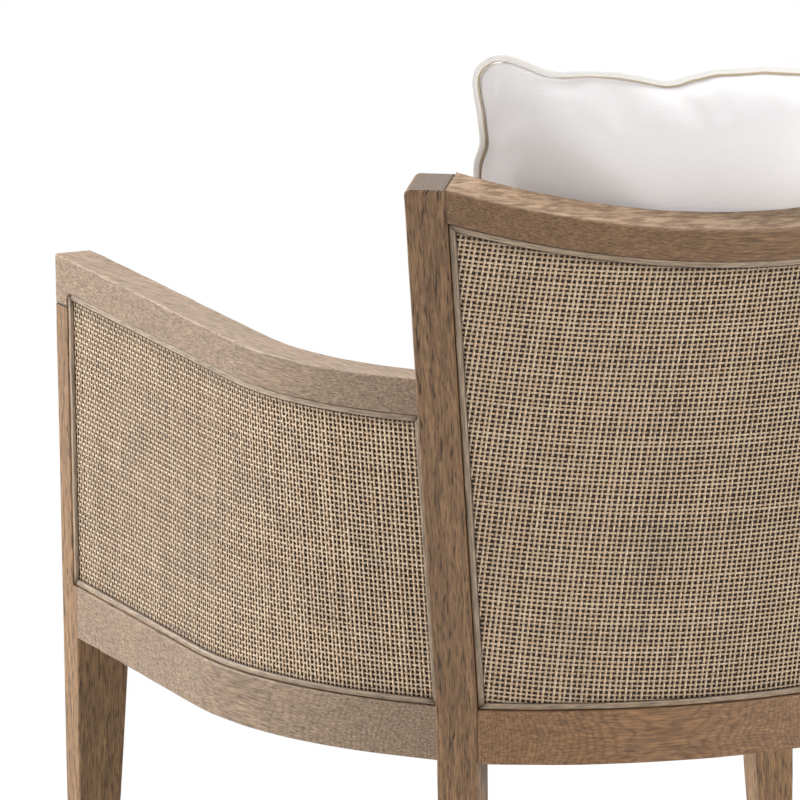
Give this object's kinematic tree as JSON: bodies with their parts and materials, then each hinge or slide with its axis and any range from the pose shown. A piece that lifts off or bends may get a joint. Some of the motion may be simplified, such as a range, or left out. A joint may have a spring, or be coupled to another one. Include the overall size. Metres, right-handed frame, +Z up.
{
  "type": "occasional chair",
  "caption": "Barrel-back occasional armchair: weathered oak frame with a leaning curved back and dipped crest, woven cane back and side panels, loose piped seat and back cushions.",
  "frame": {"origin": "on the floor, under the middle of the chair's width and depth", "axes": "+Z up; the chair faces -Y; +X is the sitter's left"},
  "size_m": [0.677, 0.7234, 0.8471],
  "materials": {
    "oak": "weathered oak, open pores, paler worn edges",
    "dark_oak": "brown weathered oak, open pores",
    "bead_oak": "grey-washed oak strip",
    "cane": "woven natural cane, straw with brown and grey strands",
    "lining": "dark stained thin board",
    "inner_wood": "plain unfinished hardwood",
    "screw_steel": "zinc plated",
    "webbing": "woven elastic webbing",
    "felt": "needled felt",
    "dust_cloth": "thin spun cloth",
    "glide_felt": "pressed felt",
    "linen": "soft white plain weave with piped seams"
  },
  "bodies": {
    "chair_frame": {"front_leg_left": "oak", "front_leg_right": "oak", "rear_post_left": "dark_oak", "rear_post_right": "dark_oak", "arm_left": "oak", "arm_right": "oak", "crest_rail": "dark_oak", "back_rail": "dark_oak", "side_rail_left": "oak", "side_rail_right": "oak", "front_rail": "oak", "back_cane": "cane", "side_cane_left": "cane", "side_cane_right": "cane", "back_lining": "lining", "side_lining_left": "lining", "side_lining_right": "lining", "back_beads": "bead_oak", "side_beads_left": "bead_oak", "side_beads_right": "bead_oak", "front_corner_blocks": "inner_wood", "rear_corner_blocks": "inner_wood", "corner_screws": "screw_steel", "seat_dowels": "inner_wood", "arm_dowels": "inner_wood", "crest_dowels": "inner_wood", "webbing_lengthwise": "webbing", "webbing_crosswise": "webbing", "deck_pad": "felt", "dust_cover": "dust_cloth", "floor_glides": "glide_felt"},
    "loose_seat": {"seat_cushion": "linen"},
    "loose_back": {"back_cushion": "linen"}
  },
  "joints": [
    {"name": "seat_lift", "type": "slide", "parent": "chair_frame", "child": "loose_seat", "axis": [0, 0, 1], "range_m": [0, 0.25]},
    {"name": "back_lift", "type": "slide", "parent": "loose_seat", "child": "loose_back", "axis": [0, -0.2588, 0.9659], "range_m": [0, 0.3]}
  ]
}
